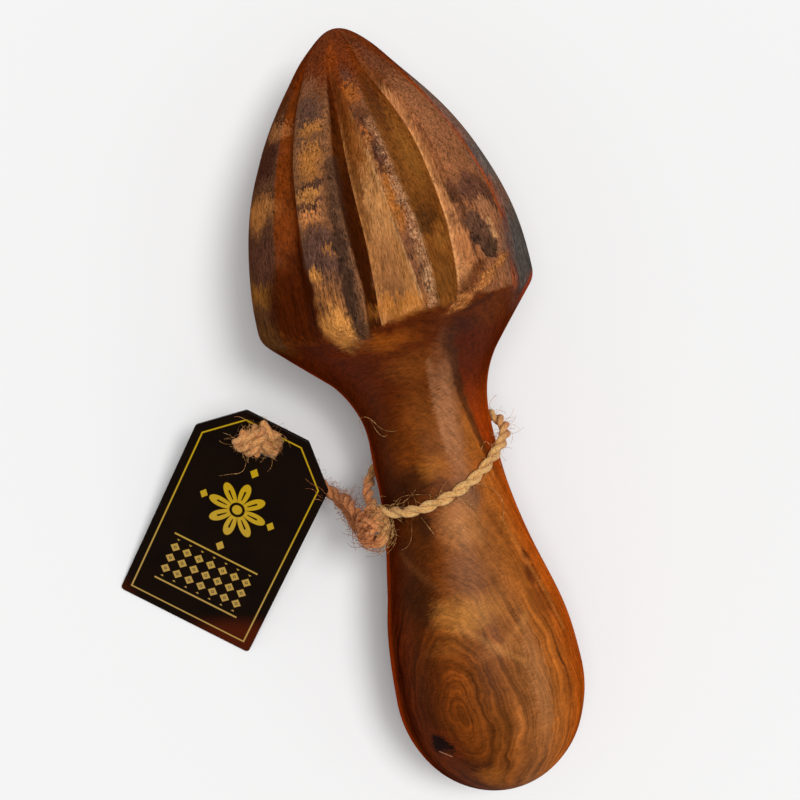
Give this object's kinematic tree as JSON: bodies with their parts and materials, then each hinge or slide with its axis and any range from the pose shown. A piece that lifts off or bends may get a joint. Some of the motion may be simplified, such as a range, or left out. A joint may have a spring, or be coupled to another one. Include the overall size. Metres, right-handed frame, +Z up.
{
  "type": "citrus reamer",
  "caption": "Wooden hand-held citrus reamer with a carved, fluted cone, slim waist and rounded grip; a card hang tag is tied to its waist with jute twine.",
  "frame": {"origin": "on the table, under the middle of the wooden body's box; the reamer lies on its head and its grip", "axes": "+Z up, +Y towards the tip of the fluted head, +X to the right when looking along +Y; the turned axis falls 5.8 degrees towards the grip"},
  "size_m": [0.0979, 0.1542, 0.055],
  "materials": {
    "wood": "oiled satin",
    "twine": "hairy jute",
    "tag_card": "laminated gloss"
  },
  "bodies": {
    "reamer": {"reamer_body": "wood"},
    "twine_loop": {"neck_loop": "twine", "neck_knot": "twine"},
    "tag_lead": {"lead_strand_left": "twine", "lead_strand_right": "twine", "tag_knot": "twine"},
    "tag": {"hang_tag": "tag_card"}
  },
  "joints": [
    {"name": "loop_turn", "type": "hinge", "parent": "reamer", "child": "twine_loop", "pos_m": [0, -0.00943, 0.02412], "axis": [0, 0.9949, 0.1012], "continuous": true},
    {"name": "lead_lift", "type": "hinge", "parent": "twine_loop", "child": "tag_lead", "pos_m": [-0.01479, -0.01916, 0.03101], "axis": [0, 0.9949, 0.1012], "range_deg": [-10, 90]},
    {"name": "tag_turn", "type": "hinge", "parent": "tag_lead", "child": "tag", "pos_m": [-0.0315, 0.0016, 0.01844], "axis": [0.2579, 0.302, -0.9178], "range_deg": [-3, 90]}
  ]
}
